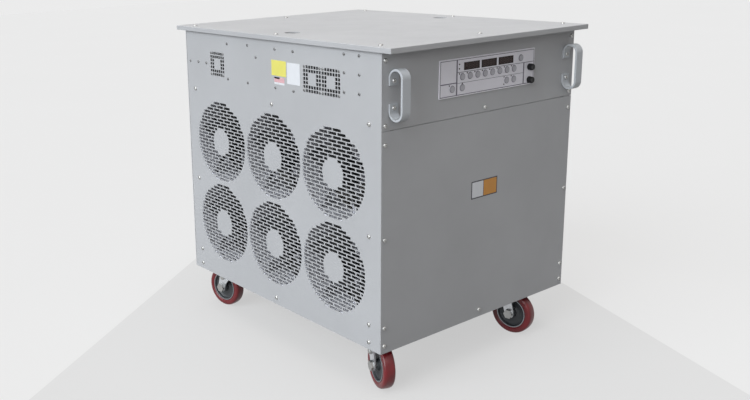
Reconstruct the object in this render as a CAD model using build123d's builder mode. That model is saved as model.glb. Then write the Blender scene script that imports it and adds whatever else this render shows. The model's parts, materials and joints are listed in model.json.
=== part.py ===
"""Portable generator load bank on four swivel casters.

A sheet-steel cabinet on a welded base: six tube-axial fans draw air through ring-shaped grilles in the
left side, blow it across a stack of resistor rods and out through the slotted right side.  The upper
compartment holds the controls, with the operator panel and two strap handles on the front.

Frame: origin on the floor under the middle of the whole outline, +X to the right of the operator
panel, +Y towards the rear, +Z up.  Millimetres.
"""

import os
from math import cos, radians, sqrt

from build123d import *

# ---- cabinet ----
body_width = 744.0
body_depth = 860.0
body_height = 762.0
sheet = 2.0
sheet_gap = 0.3
corner_flange = 30.0
corner_bend = 3.0
control_height = 189.0
seam_height = body_height - control_height
seam_gap = 1.6

# ---- roof ----
roof_side_overhang = 8.0
roof_end_overhang = 38.0
roof_lip = 13.0
roof_screw_inset_x = 20.0
roof_screw_inset_y = 25.0

# ---- handles ----
handle_height = 126.0
handle_reach = 46.0
handle_strap = 5.0
handle_width = 28.0
handle_inset = 36.0
handle_hole_spacing = 66.0
handle_foot_gap = 44.0
handle_centre = body_height - 102.0

# ---- casters ----
wheel_diameter = 127.0
wheel_width = 32.0
tread_thickness = 18.0
skirt_clearance = 3.0
caster_height = 165.0
caster_trail = 38.0
caster_inset_left = 75.0
caster_inset_right = 152.0
caster_inset_front = 95.0
caster_inset_rear = 110.0
caster_plate_size = 100.0
caster_plate_thickness = 5.0
caster_bolt_spacing = 76.0
caster_bolt_radius = 4.5
race_height = 5.7
race_radius = 32.0
running_gap = 0.3
pin_clearance = 0.05
crown_thickness = 6.0
leg_thickness = 5.0
leg_side_gap = 4.0
axle_radius = 8.0
kingpin_radius = 9.0
hub_side_gap = 0.5
leg_bolt_radius = 4.0
leg_bolt_head = 8.0
leg_bolt_setback = 9.0
leg_bolt_rise = 37.0

# ---- fans ----
fan_front_margin = 51.7
fan_rear_margin = 46.3
fan_floor_margin = 57.1
fan_top_margin = 7.9
fan_gap = 2.0
fan_pitch_y = (body_depth - fan_front_margin - fan_rear_margin) / 3
fan_pitch_z = (seam_height - fan_floor_margin - fan_top_margin) / 2
fan_flange = min(fan_pitch_y, fan_pitch_z) - fan_gap
fan_rim = 5.0
fan_bore_radius = fan_flange / 2 - fan_rim
fan_wall = 3.0
fan_depth = 84.0
fan_hub_radius = fan_bore_radius * 0.38
fan_hub_depth = 40.0
fan_tip_gap = 3.0
fan_blades = 5
fan_blade_thickness = 3.0
fan_blade_angle = 32.0
fan_shaft_radius = 5.0
fan_motor_radius = fan_hub_radius - 2.0
fan_motor_depth = 26.0
fan_impeller_setback = 12.0
fan_strut_width = 12.0
grille_outer_radius = fan_bore_radius - 1.0
grille_inner_radius = fan_hub_radius + 2.0
slot_length = 46.0
slot_height = 11.0
slot_pitch_y = 54.0
slot_pitch_z = 17.0

# ---- small cooling fans of the control compartment ----
vent_size = 73.0
vent_depth = 25.0
vent_hole = 6.6
vent_hole_pitch = 10.4
vent_rows = 7
vent_blank = 3
vent_height = body_height - 90.0
vent_columns = (182.0, 256.0, body_depth - 168.0)
vent_bore_radius = 34.5
vent_hub_radius = 15.0
vent_hub_depth = 14.0
vent_blades = 5
vent_shaft_radius = 2.0
vent_strut_width = 5.0
vent_back = 4.0

# ---- operator panel ----
module_width = 372.0
module_height = 97.0
module_centre_x = body_width / 2 + 8.0
module_centre_z = body_height - 86.5
module_proud = 2.5
module_depth = 55.0
module_rim = 4.0
button_radius = 9.0
button_clearance = 0.3
button_length = 5.0
button_proud = 1.5
button_travel = 1.0
button_columns = 8
button_pitch = 29.0
button_first_x = module_centre_x - 102.0
button_row_top = module_centre_z + 0.5
button_row_bottom = module_centre_z - 27.5
window_width = 60.0
window_height = 20.0
window_pitch = 67.0
window_depth = 3.0
window_first_x = module_centre_x - window_pitch
window_row = module_centre_z + 26.0
fuse_x = module_centre_x + 165.0
fuse_rows = (module_centre_z - 1.5, module_centre_z - 36.5)
fuse_cap_radius = 10.0
fuse_cap_length = 13.0
fuse_neck_radius = 6.0
fuse_neck_length = 10.0
fuse_flutes = 8

# ---- frame ----
pan_thickness = 4.0
rail_size = 40.0
rail_height = 16.0
post_size = 42.0
post_thickness = 4.0
frame_gap = 0.3
lift_inset = 78.0
lift_hole_radius = 22.0
lift_boss_radius = 26.0
lift_bore_radius = 5.1
lift_bore_depth = 22.0
shelf_flange = 20.0

# ---- resistor stack ----
rod_radius = 6.0
rod_clearance = 0.3
rod_rows = 12
rod_columns = 4
rod_first_x = 230.0
rod_last_inset = 184.0
rod_first_z = 150.0
rod_top_inset = 27.0
rod_pitch_x = (body_width - rod_first_x - rod_last_inset) / (rod_columns - 1)
rod_pitch_z = (seam_height - rod_first_z - rod_top_inset) / (rod_rows - 1)
rack_plate = 3.0
rack_inset = 70.0
rack_end = 25.0

# ---- exhaust grille ----
louvre_columns = 5
louvre_rows = 18
louvre_bridge = 20.0
louvre_end_margin = 60.0
louvre_floor_margin = 76.0
louvre_top_margin = 29.0
louvre_height = 12.0
louvre_pitch_y = (body_depth - 2 * louvre_end_margin) / louvre_columns
louvre_pitch_z = (seam_height - louvre_floor_margin - louvre_top_margin) / louvre_rows
louvre_length = louvre_pitch_y - louvre_bridge
louvre_centre_z = (seam_height + louvre_floor_margin - louvre_top_margin) / 2

# ---- load terminals ----
terminal_count = 5
terminal_pitch = 70.0
terminal_height = 130.0
terminal_flange = 52.0
terminal_flange_thickness = 4.0
terminal_radius = 20.0
terminal_proud = 14.0
terminal_depth = 40.0
terminal_bore_radius = 9.0
terminal_bore_depth = 32.0

# ---- screws ----
screw_head_radius = 6.0
screw_head_height = 3.8
screw_radius = 3.0
screw_hole_clearance = 0.3
side_screw_inset = 43.0
edge_screw_inset = 12.0
screw_levels = (20.0, 68.0, seam_height / 2 + 16.0, seam_height + 13.0)
front_screw_levels = (20.0, 68.0, seam_height / 2 + 14.0, seam_height - 34.0)
upper_screw_levels = (seam_height + 13.0, body_height - 20.0)
handle_screw_head = 5.0

# ---- derived places ----
skirt_z = wheel_diameter + skirt_clearance
top_z = skirt_z + body_height
left_x = -body_width / 2
right_x = body_width / 2
front_y = -(body_depth + roof_end_overhang - handle_reach) / 2
rear_y = front_y + body_depth
mid_y = (front_y + rear_y) / 2
cabinet_top = top_z + roof_lip - sheet
pan_z = caster_height
post_base_z = pan_z + pan_thickness
axle_z = wheel_diameter / 2
shelf_z = skirt_z + seam_height
fan_rows = [skirt_z + fan_floor_margin + (i + 0.5) * fan_pitch_z for i in range(2)]
fan_columns = [front_y + fan_front_margin + (i + 0.5) * fan_pitch_y for i in range(3)]

caster_left = left_x + caster_inset_left
caster_right = right_x - caster_inset_right
caster_front = front_y + caster_inset_front
caster_rear = rear_y - caster_inset_rear
caster_swivels = {
    "front_left": (caster_left, caster_front, -112.0),
    "front_right": (caster_right, caster_front, -81.0),
    "rear_left": (caster_left, caster_rear, 100.0),
    "rear_right": (caster_right, caster_rear, 20.0),
}

os.makedirs("parts", exist_ok=True)


def save(part, name):
    """Label a finished piece and write it as one STEP file."""
    part.label = name
    export_step(part, f"parts/{name}.step")


def front_plane(depth=0.0):
    """Plane on the front face, looking at it from outside: local x is +X and local y is +Z."""
    return Plane(origin=(0, front_y + depth, 0), x_dir=(1, 0, 0), z_dir=(0, -1, 0))


def side_points(points):
    """Points given as (y, z) in the local frame of side_plane on the left side."""
    return [(-y, z) for y, z in points]


# ------------------------------------------------------------------ screws
def left_screw_places():
    """Screw places on a side panel, as (y, z)."""
    ends = (front_y + side_screw_inset, rear_y - side_screw_inset)
    places = [(y, skirt_z + level) for y in ends for level in screw_levels]
    return places + [(mid_y, skirt_z + screw_levels[0]), (mid_y, skirt_z + screw_levels[-1])]


def lower_panel_screw_places():
    """Screw places on the lower front panel, as (x, z)."""
    ends = (left_x + edge_screw_inset, right_x - edge_screw_inset)
    places = [(x, skirt_z + level) for x in ends for level in front_screw_levels]
    return places + [(0, skirt_z + front_screw_levels[0])]


def upper_panel_screw_places():
    """Screw places on the operator panel, as (x, z)."""
    ends = (left_x + edge_screw_inset, right_x - edge_screw_inset)
    places = [(x, skirt_z + level) for x in ends for level in upper_screw_levels]
    return places + [(0, skirt_z + upper_screw_levels[0])]


def roof_screw_places():
    """Screw places on the roof, as (x, y): corners and the middle of each side."""
    xs = (left_x + roof_screw_inset_x, 0, right_x - roof_screw_inset_x)
    ys = (front_y + roof_screw_inset_y, mid_y, rear_y - roof_screw_inset_y)
    return [(x, y) for x in xs for y in ys if (x, y) != (0, mid_y)]


def handle_screw_places():
    """Screw places of both handles on the operator panel, as (x, z)."""
    xs = (left_x + handle_inset, right_x - handle_inset)
    zs = (-handle_hole_spacing / 2, handle_hole_spacing / 2)
    return [(x, skirt_z + handle_centre + z) for x in xs for z in zs]


def make_screw(head_seat=0.0):
    """A low-dome screw on the XY plane: the head stands above, the stub fills the panel below."""
    with BuildPart() as screw:
        with BuildSketch(Plane.XZ):
            with BuildLine():
                Polyline(
                    (0, -sheet), (screw_radius, -sheet), (screw_radius, head_seat),
                    (screw_head_radius, head_seat), (screw_head_radius, head_seat + screw_head_height * 0.4),
                    (screw_head_radius * 0.7, head_seat + screw_head_height * 0.85),
                    (screw_head_radius * 0.3, head_seat + screw_head_height),
                    (0, head_seat + screw_head_height), (0, -sheet),
                )
            make_face()
        revolve(axis=Axis.Z)
    return screw.part


def screw_group():
    """Every cabinet screw, seated in its own hole."""
    screw = make_screw()
    handle_screw = make_screw(head_seat=handle_strap)
    solids = []
    for y, z in left_screw_places():
        solids.append(Location((left_x, y, z), (0, -90, 0)) * screw)
        solids.append(Location((right_x, y, z), (0, 90, 0)) * screw)
    for x, z in lower_panel_screw_places() + upper_panel_screw_places():
        solids.append(Location((x, front_y, z), (90, 0, 0)) * screw)
        solids.append(Location((x, rear_y, z), (-90, 0, 0)) * screw)
    for x, z in handle_screw_places():
        solids.append(Location((x, front_y, z), (90, 0, 0)) * handle_screw)
    for x, y in roof_screw_places():
        solids.append(Location((x, y, top_z + roof_lip), (0, 0, 0)) * screw)
    return Compound(children=solids)


# ------------------------------------------------------------------ cabinet panels
def side_panel_blank(name_x, outward):
    """Side panel with its front and rear flanges turned inwards, as an open channel."""
    inner = -outward
    y0 = front_y + sheet + sheet_gap
    y1 = rear_y - sheet - sheet_gap
    with BuildPart() as panel:
        with BuildSketch(Plane.XY.offset(skirt_z)) as outline:
            with BuildLine():
                Polyline(
                    (name_x + inner * corner_flange, y0), (name_x, y0), (name_x, y1),
                    (name_x + inner * corner_flange, y1), (name_x + inner * corner_flange, y1 - sheet),
                    (name_x + inner * sheet, y1 - sheet), (name_x + inner * sheet, y0 + sheet),
                    (name_x + inner * corner_flange, y0 + sheet), (name_x + inner * corner_flange, y0),
                )
            make_face()
        extrude(amount=cabinet_top - skirt_z)
        corners = panel.edges().filter_by(Axis.Z).group_by(Axis.X)[0 if outward < 0 else -1]
        fillet(corners, radius=sheet * 0.9)
    return panel


def slot_ring(centre_y, centre_z):
    """Staggered slots of one intake ring, shortened where they meet the ring's edges: (y, z, length)."""
    slots = []
    rows = int(2 * grille_outer_radius / slot_pitch_z)
    for i in range(rows):
        height = (i - (rows - 1) / 2) * slot_pitch_z
        outer = sqrt(grille_outer_radius**2 - height**2)
        inner = sqrt(max(grille_inner_radius**2 - height**2, 0.0))
        shift = slot_pitch_y / 2 if i % 2 else 0.0
        for k in range(-4, 5):
            middle = k * slot_pitch_y + shift
            low, high = middle - slot_length / 2, middle + slot_length / 2
            for band_low, band_high in ((-outer, -inner), (inner, outer)) if inner else ((-outer, outer),):
                start, end = max(low, band_low), min(high, band_high)
                if end - start > slot_height:
                    slots.append((centre_y + (start + end) / 2, centre_z + height, end - start))
    return slots


def vent_places():
    """Centres of the three small vents, as (y, z)."""
    return [(front_y + y, skirt_z + vent_height) for y in vent_columns]


def vent_hole_places(centre_y, centre_z):
    """Square holes of one small vent: a grid without its corners and its middle."""
    half = (vent_rows - 1) // 2
    blank = (vent_blank - 1) // 2
    places = []
    for row in range(-half, half + 1):
        for column in range(-half, half + 1):
            corner = abs(row) == half and abs(column) == half
            middle = abs(row) <= blank and abs(column) <= blank
            if not corner and not middle:
                places.append((-centre_y + column * vent_hole_pitch, centre_z + row * vent_hole_pitch))
    return places


def intake_side_panel():
    """Left side: six slotted fan rings, three small vents and the screw holes."""
    cut_plane = Plane(origin=(left_x, 0, 0), x_dir=(0, -1, 0), z_dir=(-1, 0, 0))
    with BuildPart() as panel:
        add(side_panel_blank(left_x, -1).part)
        with BuildSketch(cut_plane):
            for fan_y in fan_columns:
                for fan_z in fan_rows:
                    for y, z, length in slot_ring(fan_y, fan_z):
                        with Locations((-y, z)):
                            Rectangle(length, slot_height)
            for y, z in vent_places():
                with Locations(*vent_hole_places(y, z)):
                    Rectangle(vent_hole, vent_hole)
            with Locations(*side_points(left_screw_places())):
                Circle(screw_radius + screw_hole_clearance)
        extrude(amount=-sheet, mode=Mode.SUBTRACT)
    return panel.part


def exhaust_side_panel():
    """Right side: a field of long horizontal outlet slots."""
    cut_plane = Plane(origin=(right_x, 0, 0), x_dir=(0, 1, 0), z_dir=(1, 0, 0))
    with BuildPart() as panel:
        add(side_panel_blank(right_x, 1).part)
        with BuildSketch(cut_plane):
            with Locations((mid_y, skirt_z + louvre_centre_z)):
                with GridLocations(louvre_pitch_y, louvre_pitch_z, louvre_columns, louvre_rows):
                    Rectangle(louvre_length, louvre_height)
            with Locations(*left_screw_places()):
                Circle(screw_radius + screw_hole_clearance)
        extrude(amount=-sheet, mode=Mode.SUBTRACT)
    return panel.part


def flat_panel(y_outside, z_low, z_high, holes, extra=None):
    """A flat front or rear panel between the side panels, with its screw holes."""
    plane = Plane(origin=(0, y_outside, 0), x_dir=(1, 0, 0), z_dir=(0, -1, 0))
    with BuildPart() as panel:
        with BuildSketch(plane):
            with Locations((0, (z_low + z_high) / 2)):
                Rectangle(body_width, z_high - z_low)
            with Locations(*holes):
                Circle(screw_radius + screw_hole_clearance, mode=Mode.SUBTRACT)
            if extra:
                centre, size = extra
                with Locations(centre):
                    Rectangle(*size, mode=Mode.SUBTRACT)
        extrude(amount=-sheet)
    return panel


def module_centre():
    """Centre of the operator module on the front, as (x, z)."""
    return (left_x + module_centre_x, skirt_z + module_centre_z)


def module_opening():
    """Size of the cut-out behind the operator module's rim."""
    return (module_width - 2 * module_rim, module_height - 2 * module_rim)


def top_cover():
    """Roof: a shallow tray turned over, with folded lips and two round lifting holes."""
    width = body_width + 2 * roof_side_overhang
    depth = body_depth + 2 * roof_end_overhang
    with BuildPart() as roof:
        with BuildSketch(Plane.XY.offset(top_z)):
            with Locations((0, mid_y)):
                Rectangle(width, depth)
        extrude(amount=roof_lip)
        fillet(roof.edges().group_by(Axis.Z)[-1], radius=1.5)
        with BuildSketch(Plane.XY.offset(top_z)):
            with Locations((0, mid_y)):
                Rectangle(width - 2 * sheet, depth - 2 * sheet)
        extrude(amount=roof_lip - sheet, mode=Mode.SUBTRACT)
        with BuildSketch(Plane.XY.offset(top_z + roof_lip)):
            with Locations((left_x + lift_inset, mid_y), (right_x - lift_inset, mid_y)):
                Circle(lift_hole_radius)
            with Locations(*roof_screw_places()):
                Circle(screw_radius + screw_hole_clearance)
        extrude(amount=-sheet, mode=Mode.SUBTRACT)
    return roof.part


# ------------------------------------------------------------------ frame
def base_frame():
    """Welded base: floor pan under a ring of square rail, with the caster bolt holes."""
    inner_w = body_width - 2 * (sheet + frame_gap)
    inner_d = body_depth - 2 * (2 * sheet + sheet_gap + frame_gap)
    with BuildPart() as base:
        with BuildSketch(Plane.XY.offset(pan_z)):
            with Locations((0, mid_y)):
                Rectangle(inner_w, inner_d)
        extrude(amount=pan_thickness)
        with BuildSketch(Plane.XY.offset(post_base_z)):
            with Locations((0, mid_y)):
                Rectangle(inner_w, inner_d)
                Rectangle(inner_w - 2 * rail_size, inner_d - 2 * rail_size, mode=Mode.SUBTRACT)
        extrude(amount=rail_height)
        with BuildSketch(Plane.XY.offset(pan_z)):
            for x, y, _ in caster_swivels.values():
                with Locations((x, y)):
                    with GridLocations(caster_bolt_spacing, caster_bolt_spacing, 2, 2):
                        Circle(caster_bolt_radius)
        extrude(amount=pan_thickness + rail_height, mode=Mode.SUBTRACT)
    return base.part


def frame_uprights():
    """Four angle posts on the base, tied by a top ring that carries the roof and the lifting bosses."""
    rail_top = post_base_z + rail_height
    inner_w = body_width - 2 * (sheet + frame_gap)
    inner_d = body_depth - 2 * (2 * sheet + sheet_gap + frame_gap)
    with BuildPart() as uprights:
        with BuildSketch(Plane.XY.offset(rail_top)):
            with Locations((0, mid_y)):
                Rectangle(inner_w, inner_d)
                Rectangle(inner_w - 2 * post_thickness, inner_d - 2 * post_thickness, mode=Mode.SUBTRACT)
                Rectangle(inner_w - 2 * post_size, inner_d, mode=Mode.SUBTRACT)
                Rectangle(inner_w, inner_d - 2 * post_size, mode=Mode.SUBTRACT)
        extrude(amount=cabinet_top - rail_top)
        with BuildSketch(Plane.XY.offset(cabinet_top - post_thickness)):
            with Locations((0, mid_y)):
                Rectangle(inner_w, inner_d)
                Rectangle(inner_w - 2 * rail_size, inner_d - 2 * rail_size, mode=Mode.SUBTRACT)
            for side in (-1, 1):
                with Locations((side * (right_x - lift_inset), mid_y)):
                    Rectangle(2 * lift_inset, 2 * lift_boss_radius + rail_size)
            with Locations((0, mid_y)):
                Rectangle(inner_w, inner_d, mode=Mode.INTERSECT)
        extrude(amount=post_thickness)
        with BuildSketch(Plane.XY.offset(cabinet_top)):
            for side in (-1, 1):
                with Locations((side * (right_x - lift_inset), mid_y)):
                    Circle(lift_boss_radius)
        extrude(amount=-(lift_bore_depth + 6))
        with BuildSketch(Plane.XY.offset(cabinet_top)):
            for side in (-1, 1):
                with Locations((side * (right_x - lift_inset), mid_y)):
                    Circle(lift_bore_radius)
        extrude(amount=-lift_bore_depth, mode=Mode.SUBTRACT)
    return uprights.part


def control_shelf():
    """Divider between the air path and the control compartment, notched round the four posts."""
    inner_w = body_width - 2 * (sheet + frame_gap)
    inner_d = body_depth - 2 * (2 * sheet + sheet_gap + frame_gap)
    notch = 2 * (post_size + sheet_gap)
    with BuildPart() as shelf:
        with BuildSketch(Plane.XY.offset(shelf_z)):
            with Locations((0, mid_y)):
                Rectangle(inner_w, inner_d - notch)
                Rectangle(inner_w - notch, inner_d)
        extrude(amount=sheet)
        with BuildSketch(Plane.XY.offset(shelf_z)):
            with Locations((0, mid_y)):
                Rectangle(inner_w - notch, inner_d)
                Rectangle(inner_w - notch, inner_d - 2 * sheet, mode=Mode.SUBTRACT)
        extrude(amount=-shelf_flange)
    return shelf.part


# ------------------------------------------------------------------ handles
def strap_handle(x):
    """A flat strap bent into a closed loop whose two feet turn towards each other."""
    outer = handle_height / 2
    bend = handle_reach / 2
    plane = Plane(origin=(x - handle_width / 2, front_y, skirt_z + handle_centre), x_dir=(0, -1, 0), z_dir=(1, 0, 0))
    plane = Plane(origin=plane.origin, x_dir=(0, -1, 0), z_dir=(-1, 0, 0))
    with BuildPart() as handle:
        with BuildSketch(plane):
            with Locations((bend, 0)):
                SlotOverall(handle_height, handle_reach, rotation=90)
                SlotOverall(
                    handle_height - 2 * handle_strap, handle_reach - 2 * handle_strap, rotation=90,
                    mode=Mode.SUBTRACT,
                )
            with Locations((handle_strap / 2, 0)):
                Rectangle(2 * handle_strap, handle_foot_gap, mode=Mode.SUBTRACT)
        extrude(amount=-handle_width)
        holes = [(x, skirt_z + handle_centre + side * handle_hole_spacing / 2) for side in (-1, 1)]
        with BuildSketch(front_plane()):
            with Locations(*holes):
                Circle(screw_radius + screw_hole_clearance)
        extrude(amount=handle_strap, mode=Mode.SUBTRACT)
        chamfer(handle.edges().group_by(Axis.Y)[0].filter_by(Axis.Z), length=0.8)
    return handle.part


# ------------------------------------------------------------------ casters
def caster_plates():
    """Fixed half of every caster: plate, upper race and kingpin with its retaining head."""
    plate_z = caster_height - caster_plate_thickness
    race_z = plate_z - race_height
    crown_z = race_z - running_gap - crown_thickness
    solids = []
    for x, y, _ in caster_swivels.values():
        with BuildPart() as plate:
            with BuildSketch(Plane.XY.offset(plate_z)):
                with Locations((x, y)):
                    RectangleRounded(caster_plate_size, caster_plate_size, 8)
                    with GridLocations(caster_bolt_spacing, caster_bolt_spacing, 2, 2):
                        Circle(caster_bolt_radius, mode=Mode.SUBTRACT)
            extrude(amount=caster_plate_thickness)
            with BuildSketch(Plane.XY.offset(race_z)):
                with Locations((x, y)):
                    Circle(race_radius)
            extrude(amount=race_height)
            with BuildSketch(Plane.XY.offset(crown_z - running_gap)):
                with Locations((x, y)):
                    Circle(kingpin_radius)
            extrude(amount=crown_thickness + 2 * running_gap)
            with BuildSketch(Plane.XY.offset(crown_z - running_gap)):
                with Locations((x, y)):
                    RegularPolygon(kingpin_radius + 6, 6)
            extrude(amount=-6)
        solids.append(plate.part)
    return Compound(children=solids)


def caster_fork():
    """Swivelling fork about the origin's Z axis, trailing along +X: crown, lower race and two tapered legs."""
    race_z = caster_height - caster_plate_thickness - race_height
    crown_z = race_z - running_gap - crown_thickness
    gap = wheel_width / 2 + leg_side_gap
    leg_plane = Plane(origin=(0, gap + leg_thickness, 0), x_dir=(1, 0, 0), z_dir=(0, -1, 0))
    boss = axle_radius + 6
    with BuildPart() as fork:
        with BuildSketch(Plane.XY.offset(crown_z)):
            Rectangle(2 * race_radius + 4, 2 * (gap + leg_thickness))
        extrude(amount=crown_thickness)
        fillet(fork.edges().filter_by(Axis.Z), radius=12)
        with BuildSketch(leg_plane):
            with BuildLine():
                Polyline(
                    (-race_radius, crown_z + crown_thickness), (race_radius - 1, crown_z + crown_thickness),
                    (caster_trail + boss, axle_z + boss * 0.6), (caster_trail + boss, axle_z),
                )
                ThreePointArc(
                    (caster_trail + boss, axle_z), (caster_trail, axle_z - boss), (caster_trail - boss, axle_z)
                )
                Polyline(
                    (caster_trail - boss, axle_z), (caster_trail - boss - 4, axle_z + boss),
                    (-race_radius, crown_z - 4), (-race_radius, crown_z + crown_thickness),
                )
            make_face()
            with Locations((caster_trail, axle_z)):
                Circle(axle_radius + pin_clearance, mode=Mode.SUBTRACT)
            with Locations((caster_trail - leg_bolt_setback, axle_z + leg_bolt_rise)):
                Circle(leg_bolt_radius + pin_clearance, mode=Mode.SUBTRACT)
        extrude(amount=leg_thickness)
        mirror(about=Plane.XZ)
        with BuildSketch(Plane.XY.offset(crown_z)):
            Circle(kingpin_radius + pin_clearance)
        extrude(amount=crown_thickness, mode=Mode.SUBTRACT)
    return fork.part


def caster_axle():
    """Axle bolt along Y at the wheel's centre, with a hex head and a hex nut outside the legs."""
    half = wheel_width / 2 + leg_side_gap + leg_thickness
    head = 8.0
    plane = Plane(origin=(caster_trail, half, axle_z), x_dir=(1, 0, 0), z_dir=(0, 1, 0))
    with BuildPart() as axle:
        with BuildSketch(plane):
            Circle(axle_radius)
        extrude(amount=-2 * half)
        with BuildSketch(plane):
            RegularPolygon(axle_radius + 6, 6)
        extrude(amount=head)
        with BuildSketch(plane.offset(-2 * half)):
            RegularPolygon(axle_radius + 6, 6)
        extrude(amount=-head)
    return axle.part


def leg_bolts():
    """Domed bolt through each leg above the axle."""
    inner = wheel_width / 2 + leg_side_gap
    outer = inner + leg_thickness
    solids = []
    for side in (-1, 1):
        plane = Plane(
            origin=(caster_trail - leg_bolt_setback, side * outer, axle_z + leg_bolt_rise),
            x_dir=(1, 0, 0), z_dir=(0, side, 0),
        )
        with BuildPart() as bolt:
            with BuildSketch(plane):
                Circle(leg_bolt_radius)
            extrude(amount=-leg_thickness)
            with BuildSketch(plane):
                Circle(leg_bolt_head)
            extrude(amount=leg_bolt_head)
            fillet(bolt.edges().group_by(Axis.Y)[0 if side < 0 else -1], radius=3)
        solids.append(bolt.part)
    return solids


def wheel_hub():
    """Iron wheel centre: rim, dished web and a long boss that runs on the axle."""
    core = wheel_diameter / 2 - tread_thickness
    half = wheel_width / 2
    boss_half = half + leg_side_gap - hub_side_gap
    boss = axle_radius + 7
    bore = axle_radius + pin_clearance
    rim = core - 7
    web = 6.0
    with BuildPart() as hub:
        with BuildSketch(Plane.XY):
            with BuildLine():
                Polyline(
                    (bore, -boss_half), (boss, -boss_half), (boss, -web), (rim, -web - 2), (rim, -half + 1),
                    (core, -half + 1), (core, half - 1), (rim, half - 1), (rim, web + 2), (boss, web),
                    (boss, boss_half), (bore, boss_half), (bore, -boss_half),
                )
            make_face()
        revolve(axis=Axis.Y)
    return Location((caster_trail, 0, axle_z)) * hub.part


def wheel_tread():
    """Moulded tread bonded round the wheel centre, with sloping shoulders."""
    core = wheel_diameter / 2 - tread_thickness
    rim = wheel_diameter / 2
    half = wheel_width / 2
    shoulder = 5.0
    with BuildPart() as tread:
        with BuildSketch(Plane.XY):
            with BuildLine():
                Polyline(
                    (core, -half + 1), (core + 4, -half), (rim - shoulder, -half), (rim, -half + shoulder),
                    (rim, half - shoulder), (rim - shoulder, half), (core + 4, half), (core, half - 1),
                    (core, -half + 1),
                )
            make_face()
        revolve(axis=Axis.Y)
    return Location((caster_trail, 0, axle_z)) * tread.part


# ------------------------------------------------------------------ fans
def fan_frame():
    """Tube-axial fan body about the X axis, its inlet flange at x = 0 and the motor on struts behind."""
    plane = Plane(origin=(0, 0, 0), x_dir=(0, 1, 0), z_dir=(1, 0, 0))
    motor_x = fan_depth - fan_motor_depth
    strut_x = fan_depth - fan_strut_width
    with BuildPart() as frame:
        with BuildSketch(plane):
            Rectangle(fan_flange, fan_flange)
            Circle(fan_bore_radius, mode=Mode.SUBTRACT)
        extrude(amount=fan_wall)
        with BuildSketch(plane):
            Circle(fan_bore_radius + fan_wall)
            Circle(fan_bore_radius, mode=Mode.SUBTRACT)
        extrude(amount=fan_depth)
        with BuildSketch(plane.offset(strut_x)):
            Rectangle(2 * fan_bore_radius, fan_strut_width)
            Rectangle(fan_strut_width, 2 * fan_bore_radius)
            Circle(fan_motor_radius)
        extrude(amount=fan_strut_width)
        with BuildSketch(plane.offset(motor_x)):
            Circle(fan_motor_radius)
        extrude(amount=fan_motor_depth)
        with BuildSketch(plane.offset(motor_x)):
            Circle(fan_shaft_radius + pin_clearance)
        extrude(amount=fan_motor_depth - 4, mode=Mode.SUBTRACT)
    return frame.part


def impeller(hub_radius, hub_depth, tip_radius, blades, thickness, angle, start, shaft_radius, shaft_length):
    """Axial impeller about the X axis: cupped hub, flat pitched blades and a stub shaft towards +X."""
    plane = Plane(origin=(start, 0, 0), x_dir=(0, 1, 0), z_dir=(1, 0, 0))
    middle = start + hub_depth / 2
    chord = hub_depth * 0.86 / cos(radians(90 - angle)) if angle > 60 else hub_depth * 1.25
    with BuildPart() as rotor:
        with BuildSketch(plane):
            Circle(hub_radius)
        extrude(amount=hub_depth)
        for i in range(blades):
            turn = 360.0 / blades * i
            blade_plane = Plane(
                Location((middle, 0, 0), (turn, 0, 0)) * Location((0, 0, hub_radius * 0.8), (0, 0, angle))
            )
            with BuildSketch(blade_plane):
                Rectangle(thickness, chord)
            extrude(amount=tip_radius - hub_radius * 0.8)
        with BuildSketch(plane.offset(-hub_depth)):
            Circle(tip_radius)
        extrude(amount=3 * hub_depth, mode=Mode.INTERSECT)
        with BuildSketch(plane.offset(hub_depth)):
            Circle(shaft_radius)
        extrude(amount=shaft_length)
    return rotor.part


def main_impeller():
    """Large fan rotor, set back from the intake grille, its shaft entering the motor."""
    start = fan_impeller_setback
    reach = fan_depth - fan_motor_depth - start - fan_hub_depth + fan_motor_depth - 8
    return impeller(
        fan_hub_radius, fan_hub_depth, fan_bore_radius - fan_tip_gap, fan_blades, fan_blade_thickness,
        90 - fan_blade_angle, start, fan_shaft_radius, reach,
    )


def vent_frame():
    """Square frame of a small cooling fan about the X axis, open at the front, spider at the back."""
    plane = Plane(origin=(0, 0, 0), x_dir=(0, 1, 0), z_dir=(1, 0, 0))
    with BuildPart() as frame:
        with BuildSketch(plane):
            RectangleRounded(vent_size, vent_size, 4)
            Circle(vent_bore_radius, mode=Mode.SUBTRACT)
        extrude(amount=vent_depth)
        with BuildSketch(plane.offset(vent_depth - vent_back)):
            Rectangle(2 * vent_bore_radius + 1, vent_strut_width)
            Rectangle(vent_strut_width, 2 * vent_bore_radius + 1)
            Circle(vent_hub_radius)
            Circle(vent_shaft_radius + pin_clearance, mode=Mode.SUBTRACT)
        extrude(amount=vent_back)
    return frame.part


def vent_impeller():
    """Rotor of a small cooling fan."""
    start = 3.0
    reach = vent_depth - start - vent_hub_depth - 1.0
    return impeller(
        vent_hub_radius, vent_hub_depth, vent_bore_radius - 1.0, vent_blades, 1.6, 58, start,
        vent_shaft_radius, reach,
    )


# ------------------------------------------------------------------ operator module
def button_places():
    """Centres of the operator buttons on the front, by name, as (x, z)."""
    places = {}
    for i in range(button_columns):
        places[f"load_button_{i + 1}"] = (left_x + button_first_x + i * button_pitch, skirt_z + button_row_top)
    last = button_first_x + (button_columns - 1) * button_pitch
    places["master_button"] = (left_x + button_first_x, skirt_z + button_row_bottom)
    places["run_button"] = (left_x + last - button_pitch, skirt_z + button_row_bottom)
    places["stop_button"] = (left_x + last, skirt_z + button_row_bottom)
    places["power_button"] = (left_x + button_first_x - 37.0, skirt_z + button_row_bottom)
    places["display_button"] = (left_x + last + 27.0, skirt_z + window_row)
    return places


def window_places():
    """Centres of the display windows, as (x, z)."""
    return [(left_x + window_first_x + i * window_pitch, skirt_z + window_row) for i in range(3)]


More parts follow.
